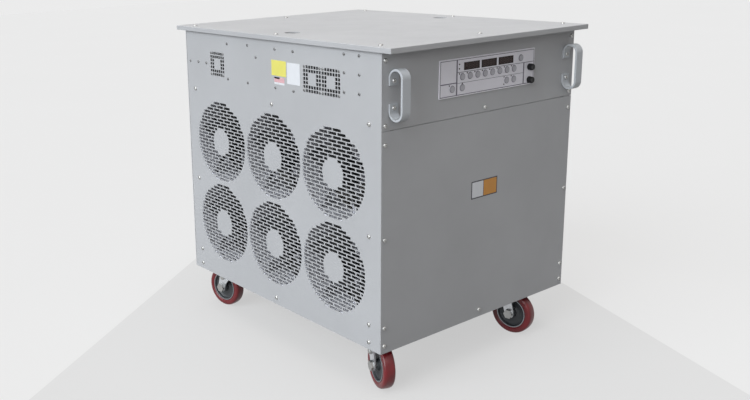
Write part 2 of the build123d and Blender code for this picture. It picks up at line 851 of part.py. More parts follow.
def fuse_places():
    """Centres of the two fuse holders, as (x, z)."""
    return [(left_x + fuse_x, skirt_z + z) for z in fuse_rows]


def control_module():
    """Operator module: rimmed face plate and its housing, with wells for the windows, buttons and fuses."""
    centre = module_centre()
    opening = module_opening()
    face = front_plane(-module_proud)
    well = button_length - button_proud + button_travel + 0.2
    with BuildPart() as module:
        with BuildSketch(face):
            with Locations(centre):
                RectangleRounded(module_width, module_height, 2)
        extrude(amount=-module_proud)
        with BuildSketch(front_plane()):
            with Locations(centre):
                Rectangle(opening[0] - 1, opening[1] - 1)
        extrude(amount=-module_depth)
        with BuildSketch(face):
            with Locations(*window_places()):
                Rectangle(window_width, window_height)
        extrude(amount=-window_depth, mode=Mode.SUBTRACT)
        with BuildSketch(face):
            with Locations(*button_places().values()):
                Circle(button_radius + button_clearance)
        extrude(amount=-well, mode=Mode.SUBTRACT)
        with BuildSketch(face):
            with Locations(*fuse_places()):
                Circle(fuse_neck_radius + pin_clearance)
        extrude(amount=-(fuse_neck_length + 1), mode=Mode.SUBTRACT)
    return module.part


def display_windows():
    """Three dark windows set flush in the module face."""
    with BuildPart() as windows:
        with BuildSketch(front_plane(-module_proud)):
            with Locations(*window_places()):
                Rectangle(window_width, window_height)
        extrude(amount=-window_depth)
    return windows.part


def push_button(x, z):
    """A round key that stands proud of its well."""
    with BuildPart() as key:
        with BuildSketch(front_plane(-module_proud - button_proud)):
            with Locations((x, z)):
                Circle(button_radius)
        extrude(amount=-button_length)
        chamfer(key.edges().group_by(Axis.Y)[0], length=0.6)
    return key.part


def fuse_cap(x, z):
    """Fluted bayonet cap of a fuse holder, its neck in the module."""
    with BuildPart() as cap:
        with BuildSketch(front_plane(-module_proud - running_gap)):
            with Locations((x, z)):
                Circle(fuse_cap_radius)
                with PolarLocations(fuse_cap_radius + 1.2, fuse_flutes):
                    Circle(2.6, mode=Mode.SUBTRACT)
        extrude(amount=fuse_cap_length)
        with BuildSketch(front_plane(-module_proud - running_gap)):
            with Locations((x, z)):
                Circle(fuse_neck_radius)
        extrude(amount=-fuse_neck_length)
    return cap.part


# ------------------------------------------------------------------ resistor stack
def rod_places():
    """Centres of the resistor rods, as (x, z)."""
    return [
        (left_x + rod_first_x + i * rod_pitch_x, skirt_z + rod_first_z + k * rod_pitch_z)
        for i in range(rod_columns)
        for k in range(rod_rows)
    ]


def resistor_rods():
    """Straight sheathed rods that cross the air stream from front to rear."""
    with BuildPart() as rods:
        with BuildSketch(front_plane(rack_inset - rack_end)):
            with Locations(*rod_places()):
                Circle(rod_radius)
        extrude(amount=-(body_depth - 2 * (rack_inset - rack_end)))
    return rods.part


def element_racks():
    """Two end plates that stand on the base rails and hold every rod in a hole."""
    low = post_base_z + rail_height
    high = shelf_z - 2 * frame_gap
    with BuildPart() as racks:
        for y in (front_y + rack_inset, rear_y - rack_inset - rack_plate):
            plane = Plane(origin=(0, y, 0), x_dir=(1, 0, 0), z_dir=(0, -1, 0))
            with BuildSketch(plane):
                with Locations((0, (low + high) / 2)):
                    Rectangle(body_width - 2 * (fan_depth + 2 * sheet + 30), high - low)
                with Locations(*rod_places()):
                    Circle(rod_radius + rod_clearance, mode=Mode.SUBTRACT)
            extrude(amount=-rack_plate)
        for side in (-1, 1):
            wall_y = front_y + rack_inset if side < 0 else rear_y - rack_inset
            with BuildSketch(Plane.XY.offset(low)):
                with Locations((0, wall_y + side * 20)):
                    Rectangle(body_width - 2 * (fan_depth + 2 * sheet + 30), 40)
            extrude(amount=rack_plate)
    return racks.part


# ------------------------------------------------------------------ switchgear and terminals
def contactors():
    """Step contactors standing in a row on the shelf of the control compartment."""
    width, depth, height, pitch = 70.0, 90.0, 95.0, 95.0
    solids = []
    for i in range(5):
        x = (i - 2) * pitch
        with BuildPart() as unit:
            with BuildSketch(Plane.XY.offset(shelf_z + sheet)):
                with Locations((x, mid_y + 150)):
                    Rectangle(width, depth)
            extrude(amount=height * 0.55)
            with BuildSketch(Plane.XY.offset(shelf_z + sheet + height * 0.55)):
                with Locations((x, mid_y + 150)):
                    Rectangle(width, depth * 0.6)
            extrude(amount=height * 0.45)
            with BuildSketch(Plane.XY.offset(shelf_z + sheet + height * 0.55)):
                with Locations((x, mid_y + 150)):
                    with GridLocations(width / 3, depth * 0.78, 3, 2):
                        Circle(5)
            extrude(amount=4)
        solids.append(unit.part)
    return Compound(children=solids)


def terminal_places():
    """Centres of the load terminals on the rear panel, as (x, z)."""
    first = -(terminal_count - 1) / 2
    return [((first + i) * terminal_pitch, skirt_z + terminal_height) for i in range(terminal_count)]


def load_terminals():
    """Single-pole panel sockets on the rear, each a flanged barrel with a blind bore."""
    plane = Plane(origin=(0, rear_y, 0), x_dir=(-1, 0, 0), z_dir=(0, 1, 0))
    solids = []
    for x, z in terminal_places():
        with BuildPart() as socket:
            with BuildSketch(plane):
                with Locations((-x, z)):
                    RectangleRounded(terminal_flange, terminal_flange, 5)
            extrude(amount=terminal_flange_thickness)
            with BuildSketch(plane):
                with Locations((-x, z)):
                    Circle(terminal_radius)
            extrude(amount=terminal_proud)
            with BuildSketch(plane):
                with Locations((-x, z)):
                    Circle(terminal_radius - 2)
            extrude(amount=-terminal_depth)
            with BuildSketch(plane.offset(terminal_proud)):
                with Locations((-x, z)):
                    Circle(terminal_bore_radius)
            extrude(amount=-terminal_bore_depth, mode=Mode.SUBTRACT)
        solids.append(socket.part)
    return Compound(children=solids)


def rear_panel():
    """Full-height rear panel with the holes of the load terminals."""
    places = lower_panel_screw_places() + upper_panel_screw_places()
    plane = Plane(origin=(0, rear_y, 0), x_dir=(-1, 0, 0), z_dir=(0, 1, 0))
    with BuildPart() as rear:
        with BuildSketch(plane):
            with Locations((0, (skirt_z + cabinet_top) / 2)):
                Rectangle(body_width, cabinet_top - skirt_z)
            with Locations(*[(-x, z) for x, z in places]):
                Circle(screw_radius + screw_hole_clearance, mode=Mode.SUBTRACT)
            with Locations(*[(-x, z) for x, z in terminal_places()]):
                Circle(terminal_radius - 2 + screw_hole_clearance, mode=Mode.SUBTRACT)
        extrude(amount=-sheet)
    return rear.part


# ------------------------------------------------------------------ build everything
save(screw_group(), "panel_screws")
save(intake_side_panel(), "intake_side_panel")
save(exhaust_side_panel(), "exhaust_side_panel")
save(
    flat_panel(front_y, skirt_z, skirt_z + seam_height - seam_gap / 2, lower_panel_screw_places()).part,
    "front_lower_panel",
)
save(
    flat_panel(
        front_y, skirt_z + seam_height + seam_gap / 2, cabinet_top,
        upper_panel_screw_places() + handle_screw_places(), (module_centre(), module_opening()),
    ).part,
    "front_control_panel",
)
save(rear_panel(), "rear_panel")
save(top_cover(), "top_cover")
save(base_frame(), "base_frame")
save(frame_uprights(), "frame_uprights")
save(control_shelf(), "control_shelf")
save(
    Compound(children=[strap_handle(side * (right_x - handle_inset)) for side in (-1, 1)]), "carry_handles"
)

save(caster_plates(), "caster_plates")
fork, hub, tread = caster_fork(), wheel_hub(), wheel_tread()
fasteners = [caster_axle()] + leg_bolts()
for corner, (x, y, turn) in caster_swivels.items():
    place = Location((x, y, 0), (0, 0, turn))
    save(place * fork, f"caster_fork_{corner}")
    save(Compound(children=[place * piece for piece in fasteners]), f"caster_axle_{corner}")
    save(place * hub, f"wheel_hub_{corner}")
    save(place * tread, f"wheel_tread_{corner}")

frame, rotor = fan_frame(), main_impeller()
fan_x = left_x + sheet
fan_names = [(row, column) for row in ("lower", "upper") for column in ("front", "middle", "rear")]
fan_places = {
    f"fan_impeller_{row}_{column}": (
        fan_x, fan_columns[("front", "middle", "rear").index(column)], fan_rows[("lower", "upper").index(row)]
    )
    for row, column in fan_names
}
save(Compound(children=[Location(p) * frame for p in fan_places.values()]), "fan_frames")
for name, p in fan_places.items():
    save(Location(p) * rotor, name)

small_frame, small_rotor = vent_frame(), vent_impeller()
small_places = [(fan_x, y, z) for y, z in vent_places()]
save(Compound(children=[Location(p) * small_frame for p in small_places]), "cooling_fan_frames")
for i, p in enumerate(small_places):
    save(Location(p) * small_rotor, f"cooling_fan_impeller_{i + 1}")

save(control_module(), "control_module")
save(display_windows(), "display_windows")
for name, (x, z) in button_places().items():
    save(push_button(x, z), name)
for i, (x, z) in enumerate(fuse_places()):
    save(fuse_cap(x, z), f"fuse_cap_{i + 1}")

save(resistor_rods(), "resistor_rods")
save(element_racks(), "element_racks")
save(contactors(), "contactors")
save(load_terminals(), "load_terminals")
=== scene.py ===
"""Looks of the portable load bank: finishes, perforated side, fasteners, printed panel, wheels and stage."""

import json
import math

import bmesh
import bpy
from mathutils import Matrix, Vector


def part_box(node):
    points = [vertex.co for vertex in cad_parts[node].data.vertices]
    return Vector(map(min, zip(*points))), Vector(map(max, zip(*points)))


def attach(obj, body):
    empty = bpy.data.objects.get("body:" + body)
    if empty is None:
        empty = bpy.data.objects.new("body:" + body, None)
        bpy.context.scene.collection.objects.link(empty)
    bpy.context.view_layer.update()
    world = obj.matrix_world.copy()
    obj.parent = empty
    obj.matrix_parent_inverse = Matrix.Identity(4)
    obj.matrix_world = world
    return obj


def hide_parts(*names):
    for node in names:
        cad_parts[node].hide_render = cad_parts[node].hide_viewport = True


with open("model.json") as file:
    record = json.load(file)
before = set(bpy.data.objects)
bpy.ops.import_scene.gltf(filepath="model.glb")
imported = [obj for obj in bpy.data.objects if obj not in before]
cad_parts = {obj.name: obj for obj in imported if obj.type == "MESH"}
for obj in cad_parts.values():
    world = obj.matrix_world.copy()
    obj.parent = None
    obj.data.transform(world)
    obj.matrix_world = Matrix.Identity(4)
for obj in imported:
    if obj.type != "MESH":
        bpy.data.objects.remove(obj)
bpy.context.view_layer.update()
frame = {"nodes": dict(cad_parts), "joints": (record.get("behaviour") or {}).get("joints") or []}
nodes = frame["nodes"]
MM = 0.001


# ------------------------------------------------------------------ materials
def new_material(name, base, rough, metallic=0.0):
    mat = bpy.data.materials.new(name)
    mat.use_nodes = True
    bsdf = mat.node_tree.nodes["Principled BSDF"]
    bsdf.inputs["Base Color"].default_value = (*base, 1.0)
    bsdf.inputs["Roughness"].default_value = rough
    bsdf.inputs["Metallic"].default_value = metallic
    return mat, mat.node_tree, bsdf


def coords(tree, scale=(1, 1, 1)):
    tex = tree.nodes.new("ShaderNodeTexCoord")
    mapping = tree.nodes.new("ShaderNodeMapping")
    mapping.inputs["Scale"].default_value = scale
    tree.links.new(tex.outputs["Object"], mapping.inputs["Vector"])
    return mapping.outputs["Vector"]


def noise(tree, vector, scale, detail=3.0, rough=0.5):
    node = tree.nodes.new("ShaderNodeTexNoise")
    node.inputs["Scale"].default_value = scale
    node.inputs["Detail"].default_value = detail
    node.inputs["Roughness"].default_value = rough
    tree.links.new(vector, node.inputs["Vector"])
    return node.outputs["Fac"]


def ramp(tree, fac, stops):
    node = tree.nodes.new("ShaderNodeValToRGB")
    while len(node.color_ramp.elements) < len(stops):
        node.color_ramp.elements.new(0.5)
    for element, (pos, colour) in zip(node.color_ramp.elements, stops):
        element.position = pos
        element.color = (*colour, 1.0)
    tree.links.new(fac, node.inputs["Fac"])
    return node.outputs["Color"]


def grey(v):
    return (v, v, v)


def bump(tree, bsdf, height, strength, distance, under=None):
    node = tree.nodes.new("ShaderNodeBump")
    node.inputs["Strength"].default_value = strength
    node.inputs["Distance"].default_value = distance
    tree.links.new(height, node.inputs["Height"])
    if under is not None:
        tree.links.new(under, node.inputs["Normal"])
    tree.links.new(node.outputs["Normal"], bsdf.inputs["Normal"])
    return node.outputs["Normal"]


def tint(colour, factor):
    return tuple(min(1.0, c * factor) for c in colour)


def painted(name, base, rough=0.42, peel=0.25, mottle=0.05):
    """Powder coat: orange-peel bump, soft colour drift, handled patches in the gloss."""
    mat, tree, bsdf = new_material(name, base, rough)
    where = coords(tree)
    drift = noise(tree, where, 3.1, 4.0, 0.6)
    tree.links.new(
        ramp(tree, drift, [(0.3, tint(base, 1 - mottle)), (0.7, tint(base, 1 + mottle))]),
        bsdf.inputs["Base Color"],
    )
    gloss = noise(tree, where, 9.0, 5.0, 0.65)
    tree.links.new(
        ramp(tree, gloss, [(0.3, grey(rough - 0.05)), (0.75, grey(rough + 0.08))]), bsdf.inputs["Roughness"]
    )
    fine = bump(tree, bsdf, noise(tree, where, 900.0, 2.0, 0.5), peel, 0.0004)
    bump(tree, bsdf, noise(tree, where, 2.2, 2.0, 0.4), 0.12, 0.004, fine)
    return mat


def metal(name, base, rough=0.3, grain=(1, 1, 1), scale=260.0, strength=0.1, dull=0.12):
    """Plated or brushed metal with fine grain and duller blotches."""
    mat, tree, bsdf = new_material(name, base, rough, 1.0)
    where = coords(tree, grain)
    blotch = noise(tree, coords(tree), 38.0, 5.0, 0.6)
    tree.links.new(
        ramp(tree, blotch, [(0.3, tint(base, 0.82)), (0.7, tint(base, 1.06))]), bsdf.inputs["Base Color"]
    )
    tree.links.new(
        ramp(tree, blotch, [(0.3, grey(rough + dull)), (0.7, grey(rough))]), bsdf.inputs["Roughness"]
    )
    bump(tree, bsdf, noise(tree, where, scale, 4.0, 0.6), strength, 0.0003)
    return mat


def shine(mat, level):
    """Sets how strongly a material's surface reflects; the shader's own default is 0.5."""
    mat.node_tree.nodes["Principled BSDF"].inputs["Specular IOR Level"].default_value = level


def moulded(name, base, rough=0.4, scale=1400.0, strength=0.15, mottle=0.08):
    """Moulded plastic or rubber: a fine texture and slight colour drift."""
    mat, tree, bsdf = new_material(name, base, rough)
    where = coords(tree)
    drift = noise(tree, where, 24.0, 4.0, 0.6)
    tree.links.new(
        ramp(tree, drift, [(0.3, tint(base, 1 - mottle)), (0.7, tint(base, 1 + mottle))]),
        bsdf.inputs["Base Color"],
    )
    tree.links.new(
        ramp(tree, drift, [(0.25, grey(rough - 0.04)), (0.8, grey(rough + 0.08))]), bsdf.inputs["Roughness"]
    )
    bump(tree, bsdf, noise(tree, where, scale, 2.0, 0.5), strength, 0.0002)
    return mat


paint = painted("cabinet_paint", (0.470, 0.472, 0.484))
shine(paint, 0.28)
frame_paint = painted("frame_paint", (0.16, 0.165, 0.175), 0.55)
handle_paint = painted("handle_paint", (0.50, 0.52, 0.545), 0.36, 0.18)
screw_metal = metal("bright_screws", (0.44, 0.44, 0.43), 0.30)
dark_screws = metal("dark_screws", (0.20, 0.20, 0.20), 0.34)
zinc = metal("zinc_fork", (0.70, 0.72, 0.75), 0.30, (1, 1, 0.2), 120.0, 0.08)
galvanised = metal("galvanised", (0.62, 0.64, 0.66), 0.38, scale=60.0)
duct_metal = painted("duct_metal", (0.70, 0.70, 0.75), 0.45, 0.15)
element_steel = metal("element_steel", (0.36, 0.34, 0.32), 0.42, (1, 0.02, 1), 300.0)
wheel_iron = moulded("wheel_iron", (0.035, 0.038, 0.042), 0.48, 500.0, 0.35)
tread_red = moulded("red_tread", (0.155, 0.008, 0.012), 0.30, 700.0, 0.12, 0.18)
fan_black = moulded("fan_black", (0.018, 0.019, 0.021), 0.42)
face_film = moulded("module_face", (0.83, 0.81, 0.87), 0.38, 2600.0, 0.08, 0.02)
# painted highlight: near-white colour for the strip that stands in for light on the module's lower lip
painted_lip_highlight = moulded("painted_lip_highlight", (0.93, 0.92, 0.95), 0.40, 2600.0, 0.08, 0.02)
line_ink = moulded("line_ink", (0.14, 0.13, 0.165), 0.5, 2600.0, 0.05)
window_dark = moulded("dark_window", (0.016, 0.008, 0.008), 0.30, 900.0, 0.02)
shine(window_dark, 0.12)
segment_dim = moulded("segment_dim", (0.055, 0.018, 0.012), 0.3, 900.0, 0.02)
key_grey = moulded("key_grey", (0.24, 0.235, 0.265), 0.46, 2000.0, 0.2)
key_cap = moulded("key_cap", (0.47, 0.46, 0.50), 0.5, 2000.0, 0.2)
led_dark = moulded("led_dark", (0.03, 0.02, 0.02), 0.2)
hub_lip = metal("hub_lip", (0.30, 0.31, 0.33), 0.35)
fuse_black = moulded("fuse_black", (0.010, 0.010, 0.011), 0.42, 900.0, 0.1)
shine(fuse_black, 0.22)
switch_black = moulded("switch_black", (0.03, 0.03, 0.034), 0.5)
label_yellow = moulded("label_yellow", (0.78, 0.72, 0.16), 0.4, 1200.0, 0.04, 0.03)
label_white = moulded("label_white", (0.76, 0.77, 0.80), 0.4, 1200.0, 0.04, 0.02)
label_pink = moulded("label_pink", (0.72, 0.42, 0.45), 0.4, 1200.0, 0.04, 0.02)
label_blue = moulded("label_blue", (0.03, 0.035, 0.12), 0.4, 1200.0, 0.04, 0.02)
label_ink = moulded("label_ink", (0.05, 0.05, 0.06), 0.5, 1200.0, 0.04, 0.02)
label_orange = moulded("label_orange", (0.62, 0.27, 0.04), 0.4, 1200.0, 0.04, 0.03)

FINISH = {
    "top_cover": paint, "exhaust_side_panel": paint, "intake_side_panel": paint, "rear_panel": paint,
    "front_lower_panel": paint, "front_control_panel": paint,
    "base_frame": frame_paint, "frame_uprights": frame_paint,
    "control_shelf": galvanised, "carry_handles": handle_paint,
    "caster_plates": zinc, "fan_frames": duct_metal,
    "cooling_fan_frames": fan_black, "control_module": face_film, "display_windows": window_dark,
    "resistor_rods": element_steel, "element_racks": galvanised, "contactors": switch_black,
    "load_terminals": switch_black, "panel_screws": screw_metal,
}


def finish_of(name):
    if name in FINISH:
        return FINISH[name]
    for part, mat in (
        ("caster_fork", zinc), ("caster_axle", screw_metal),
        ("wheel_hub", wheel_iron), ("wheel_tread", tread_red),
        ("impeller", fan_black), ("button", key_grey), ("fuse_cap", fuse_black),
    ):
        if part in name:
            return mat
    raise KeyError(name)


for node_name, node in nodes.items():
    node.data.materials.clear()
    node.data.materials.append(finish_of(node_name))


# ------------------------------------------------------------------ mesh helpers
def to_object(name, bm, mat, body="cabinet", smooth_angle=None):
    mesh = bpy.data.meshes.new(name)
    bm.normal_update()
    bm.to_mesh(mesh)
    bm.free()
    obj = bpy.data.objects.new(name, mesh)
    bpy.context.scene.collection.objects.link(obj)
    for m in mat if isinstance(mat, (list, tuple)) else [mat]:
        mesh.materials.append(m)
    if smooth_angle is not None:
        mesh.shade_smooth()
        mesh.set_sharp_from_angle(angle=math.radians(smooth_angle))
    if body:
        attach(obj, body)
    return obj


def lathe(bm, profile, place, steps=32, material=0):
    """Adds a turned form: profile is (radius, height) pairs about local Z, placed by a matrix."""
    rings = []
    for radius, height in profile:
        if radius < 1e-7:
            rings.append([bm.verts.new(place @ Vector((0, 0, height)))])
            continue
        rings.append([
            bm.verts.new(place @ Vector((
                radius * math.cos(2 * math.pi * i / steps),
                radius * math.sin(2 * math.pi * i / steps),
                height,
            )))
            for i in range(steps)
        ])
    for a, b in zip(rings, rings[1:]):
        for i in range(steps):
            j = (i + 1) % steps
            ring = [a[i % len(a)], a[j % len(a)], b[j % len(b)], b[i % len(b)]]
            unique = list(dict.fromkeys(ring))
            if len(unique) > 2:
                bm.faces.new(unique).material_index = material


def plate(bm, low, high, radius, place, bevel=0.0, steps=5):
    """Adds a rounded rectangle slab: low and high are local (x, y, z) corners, z is its thickness."""
    x0, y0, z0 = low
    x1, y1, z1 = high
    outline = []
    for cx, cy, start in (
        (x1 - radius, y1 - radius, 0), (x0 + radius, y1 - radius, 90),
        (x0 + radius, y0 + radius, 180), (x1 - radius, y0 + radius, 270),
    ):
        for k in range(steps + 1):
            a = math.radians(start + 90 * k / steps)
            outline.append((cx, cy, math.cos(a), math.sin(a)))
    levels = [(z0, 0.0), (z1 - bevel, 0.0)] + ([(z1, bevel)] if bevel else [])
    rings = [
        [
            bm.verts.new(place @ Vector((cx + c * (radius - inset), cy + s * (radius - inset), z)))
            for cx, cy, c, s in outline
        ]
        for z, inset in levels
    ]
    n = len(outline)
    for a, b in zip(rings, rings[1:]):
        for i in range(n):
            bm.faces.new((a[i], a[(i + 1) % n], b[(i + 1) % n], b[i]))
    bm.faces.new(rings[-1])
    bm.faces.new(list(reversed(rings[0])))


def side_place(y, z, x):
    """Local XY plane on the left face: local x runs towards the front, local y up, local z outwards."""
    return Matrix(((0, 0, -1, x), (-1, 0, 0, y), (0, 1, 0, z), (0, 0, 0, 1)))


def front_place(x, z, y):
    """Local XY plane on the front face: local x to the right, local y up, local z outwards."""
    return Matrix(((1, 0, 0, x), (0, 0, -1, y), (0, 1, 0, z), (0, 0, 0, 1)))


def rear_place(x, z, y):
    return Matrix(((-1, 0, 0, x), (0, 0, 1, y), (0, 1, 0, z), (0, 0, 0, 1)))


def right_place(y, z, x):
    return Matrix(((0, 0, 1, x), (1, 0, 0, y), (0, 1, 0, z), (0, 0, 0, 1)))


def top_place(x, y, z):
    return Matrix.Translation((x, y, z))


# ------------------------------------------------------------------ places from the CAD frame
left_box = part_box("intake_side_panel")
left_x = left_box[0][0]
skirt_z = left_box[0][2]
front_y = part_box("front_lower_panel")[0][1]
right_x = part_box("exhaust_side_panel")[1][0]
rear_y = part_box("rear_panel")[1][1]
roof_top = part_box("top_cover")[1][2]
joint_of = {j["name"]: j for j in frame["joints"]}
fan_centres = [
    joint_of[f"spin_fan_{row}_{column}"]["pos_m"][1:]
    for row in ("lower", "upper")
    for column in ("front", "middle", "rear")
]
vent_centres = [joint_of[f"spin_cooling_fan_{i}"]["pos_m"][1:] for i in (1, 2, 3)]
SHEET = 2.0 * MM
GRILLE_OUTER, GRILLE_INNER = 123 * MM, 40.0 * MM
ROW_PITCH, SLOT_PITCH = 10.05 * MM, 35.0 * MM
SLOT_LENGTH, SLOT_HEIGHT = 31.8 * MM, 7.6 * MM
SHORTEST_SLOT, SLOT_CORNER = 6.0 * MM, 2.4 * MM
VENT_PITCH, VENT_HOLE, VENT_CORNER = 10.4 * MM, 8.1 * MM, 0.9 * MM
FOLD_RADIUS = 1.6 * MM


# ------------------------------------------------------------------ intake side panel
def rounded_loop(cx, cy, w, h, r, steps=2):
    """Outline points of a rounded rectangle."""
    points = []
    for sx, sy, start in ((1, 1, 0), (-1, 1, 90), (-1, -1, 180), (1, -1, 270)):
        corner_x = cx + sx * (w / 2 - r)
        corner_y = cy + sy * (h / 2 - r)
        for k in range(steps + 1):
            a = math.radians(start + 90 * k / steps)
            points.append((corner_x + r * math.cos(a), corner_y + r * math.sin(a)))
    return points


def ring_holes(cy, cz):
    """Punched holes of one fan ring: staggered rows of slots, cut short where they meet the ring's edges."""
    holes = []
    rows = 2 * int(GRILLE_OUTER / ROW_PITCH)
    for i in range(rows):
        h = (i - (rows - 1) / 2) * ROW_PITCH
        reach = abs(h) + SLOT_HEIGHT / 4
        if reach >= GRILLE_OUTER - 1 * MM:
            continue
        outer = math.sqrt(GRILLE_OUTER ** 2 - reach ** 2)
        inner = math.sqrt(max(0.0, GRILLE_INNER ** 2 - h ** 2))
        spans = ((-outer, -inner), (inner, outer)) if inner else ((-outer, outer),)
        shift = SLOT_PITCH / 2 if i % 2 else 0.0
        for k in range(-4, 5):
            middle = k * SLOT_PITCH + shift
            first, last = middle - SLOT_LENGTH / 2, middle + SLOT_LENGTH / 2
            for low, high in spans:
                a, b = max(first, low), min(last, high)
                if b - a >= SHORTEST_SLOT:
                    holes.append(rounded_loop(cy + (a + b) / 2, cz + h, b - a, SLOT_HEIGHT, SLOT_CORNER))
    return holes


def vent_holes(cy, cz):
    """Square holes of one small vent, without its corners and middle."""
    holes = []
    for row in range(-3, 4):
        for column in range(-3, 4):
            if abs(row) == 3 and abs(column) == 3 or abs(row) <= 1 and abs(column) <= 1:
                continue
            y, z = cy + column * VENT_PITCH, cz + row * VENT_PITCH
            holes.append(rounded_loop(y, z, VENT_HOLE, VENT_HOLE, VENT_CORNER, 1))
    return holes


def punched_sheet(name, outline, holes, place, thickness):
    """A flat sheet with punched holes, from a filled outline, given its thickness inwards."""
    curve = bpy.data.curves.new(name, "CURVE")
    curve.dimensions = "2D"
    curve.fill_mode = "BOTH"
    for loop in [outline] + holes:
        spline = curve.splines.new("POLY")
        spline.points.add(len(loop) - 1)
        for point, (u, v) in zip(spline.points, loop):
            point.co = (u, v, 0, 1)
        spline.use_cyclic_u = True
    holder = bpy.data.objects.new(name + "_outline", curve)
    bpy.context.scene.collection.objects.link(holder)
    bpy.context.view_layer.update()
    mesh = bpy.data.meshes.new_from_object(holder)
    bpy.data.objects.remove(holder)
    bm = bmesh.new()
    bm.from_mesh(mesh)
    bpy.data.meshes.remove(mesh)
    bmesh.ops.remove_doubles(bm, verts=bm.verts, dist=1e-7)
    for face in bm.faces:
        if face.normal.z < 0:
            face.normal_flip()
    top = list(bm.faces)
    result = bmesh.ops.duplicate(bm, geom=top)
    lower = [g for g in result["geom"] if isinstance(g, bmesh.types.BMFace)]
    lower_verts = [g for g in result["geom"] if isinstance(g, bmesh.types.BMVert)]
    for v in lower_verts:
        v.co.z -= thickness
    for f in lower:
        f.normal_flip()
    pairs = result["vert_map"]
    for edge in [e for e in bm.edges if len(e.link_faces) == 1 and e.verts[0].co.z > -thickness / 2]:
        a, b = edge.verts
        loop = edge.link_loops[0]
        if loop.vert is not a:
            a, b = b, a
        bm.faces.new((b, a, pairs[a], pairs[b]))
    bmesh.ops.transform(bm, matrix=place, verts=bm.verts)
    return bm


def intake_panel():
    """The left side: punched face, folded corners at the front and rear, and their flanges."""
    y0, y1 = left_box[0][1], left_box[1][1]
    z0, z1 = left_box[0][2], left_box[1][2]
    r = FOLD_RADIUS
    outline = [(-(y1 - r), z0), (-(y0 + r), z0), (-(y0 + r), z1), (-(y1 - r), z1)]
    holes = []
    for y, z in fan_centres:
        holes += ring_holes(-y, z)
    for y, z in vent_centres:
        holes += vent_holes(-y, z)
    bm = punched_sheet("intake_side_panel_full", outline, holes, side_place(0, 0, left_x), SHEET)
    flange = left_box[1][0] - left_x
    for y_edge, sign in ((y0, 1), (y1, -1)):
        arc = [
            (left_x + r - r * math.sin(t), y_edge + sign * (r - r * math.cos(t)))
            for t in [math.radians(90 * k / 5) for k in range(6)]
        ]
        outer = [(left_x + flange, y_edge)] + arc
        inner = [
            (left_x + flange, y_edge + sign * SHEET), (left_x + SHEET, y_edge + sign * SHEET),
            (left_x + SHEET, y_edge + sign * (r + 0.0002)),
        ]
        loop = outer + list(reversed(inner))
        rings = [[bm.verts.new((x, y, z)) for x, y in loop] for z in (z0, z1)]
        n = len(loop)
        for i in range(n):
            bm.faces.new((rings[0][i], rings[0][(i + 1) % n], rings[1][(i + 1) % n], rings[1][i]))
        bm.faces.new(rings[0])
        bm.faces.new(rings[1])
    bmesh.ops.recalc_face_normals(bm, faces=bm.faces)
    obj = to_object("intake_side_panel_full", bm, paint, smooth_angle=30)
    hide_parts("intake_side_panel")


intake_panel()


# ------------------------------------------------------------------ screws
def add_screw(bm, place, radius, height):
    """Low-dome button head with a straight foot, a rolled rim and a round recess in the top."""
    lathe(bm, [
        (radius, 0.0), (radius, height * 0.22), (radius * 0.965, height * 0.36),
        (radius * 0.86, height * 0.6), (radius * 0.7, height * 0.83), (radius * 0.52, height * 0.96),
        (radius * 0.44, height * 0.99), (radius * 0.40, height * 0.97), (radius * 0.38, height * 0.5),
        (0.0, height * 0.42),
    ], place, 24)


# levels in millimetres above the skirt, and each head's radius and height
SIDE_LEVELS = (20.0, 68.0, 302.5, 586.0)
FRONT_LEVELS = (20.0, 68.0, 300.5, 539.0, 586.0, 742.0)
FOOT_LEVEL, SEAM_LEVEL = 20.0, 586.0
SIDE_INSET, FRONT_INSET = 43 * MM, 12 * MM
HANDLE_LEVEL, HANDLE_INSET, HANDLE_HOLES, STRAP = 660.0, 36 * MM, (-33, 33), 5 * MM
ROOF_INSET_X, ROOF_INSET_Y = 20 * MM, 25 * MM
DOMED_HEAD = (6.0 * MM, 3.75 * MM)
PAN_HEAD, CORNER_HEAD = (4.1 * MM, 2.3 * MM), (3.9 * MM, 1.9 * MM)


def panel_screws():
    """Every domed screw of the sheets, the handles and the roof."""
    bm = bmesh.new()
    mid_y = (front_y + rear_y) / 2

    def screw(place):
        add_screw(bm, place, *DOMED_HEAD)

    for x, placer in ((left_x, side_place), (right_x, right_place)):
        for y in (front_y + SIDE_INSET, rear_y - SIDE_INSET):
            for level in SIDE_LEVELS:
                screw(placer(y, skirt_z + level * MM, x))
        for level in (FOOT_LEVEL, SEAM_LEVEL):
            screw(placer(mid_y, skirt_z + level * MM, x))
    for y, placer in ((front_y, front_place), (rear_y, rear_place)):
        for x in (left_x + FRONT_INSET, right_x - FRONT_INSET):
            for level in FRONT_LEVELS:
                screw(placer(x, skirt_z + level * MM, y))
        for level in (FOOT_LEVEL, SEAM_LEVEL):
            screw(placer(0, skirt_z + level * MM, y))
    handle_z = skirt_z + HANDLE_LEVEL * MM
    for x in (left_x + HANDLE_INSET, right_x - HANDLE_INSET):
        for dz in HANDLE_HOLES:
            screw(front_place(x, handle_z + dz * MM, front_y - STRAP))
    for x in (left_x + ROOF_INSET_X, 0, right_x - ROOF_INSET_X):
        for y in (front_y + ROOF_INSET_Y, mid_y, rear_y - ROOF_INSET_Y):
            if (x, y) != (0, mid_y):
                screw(top_place(x, y, roof_top))
    obj = to_object("panel_screws_detailed", bm, screw_metal, smooth_angle=40)
    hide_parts("panel_screws")


panel_screws()


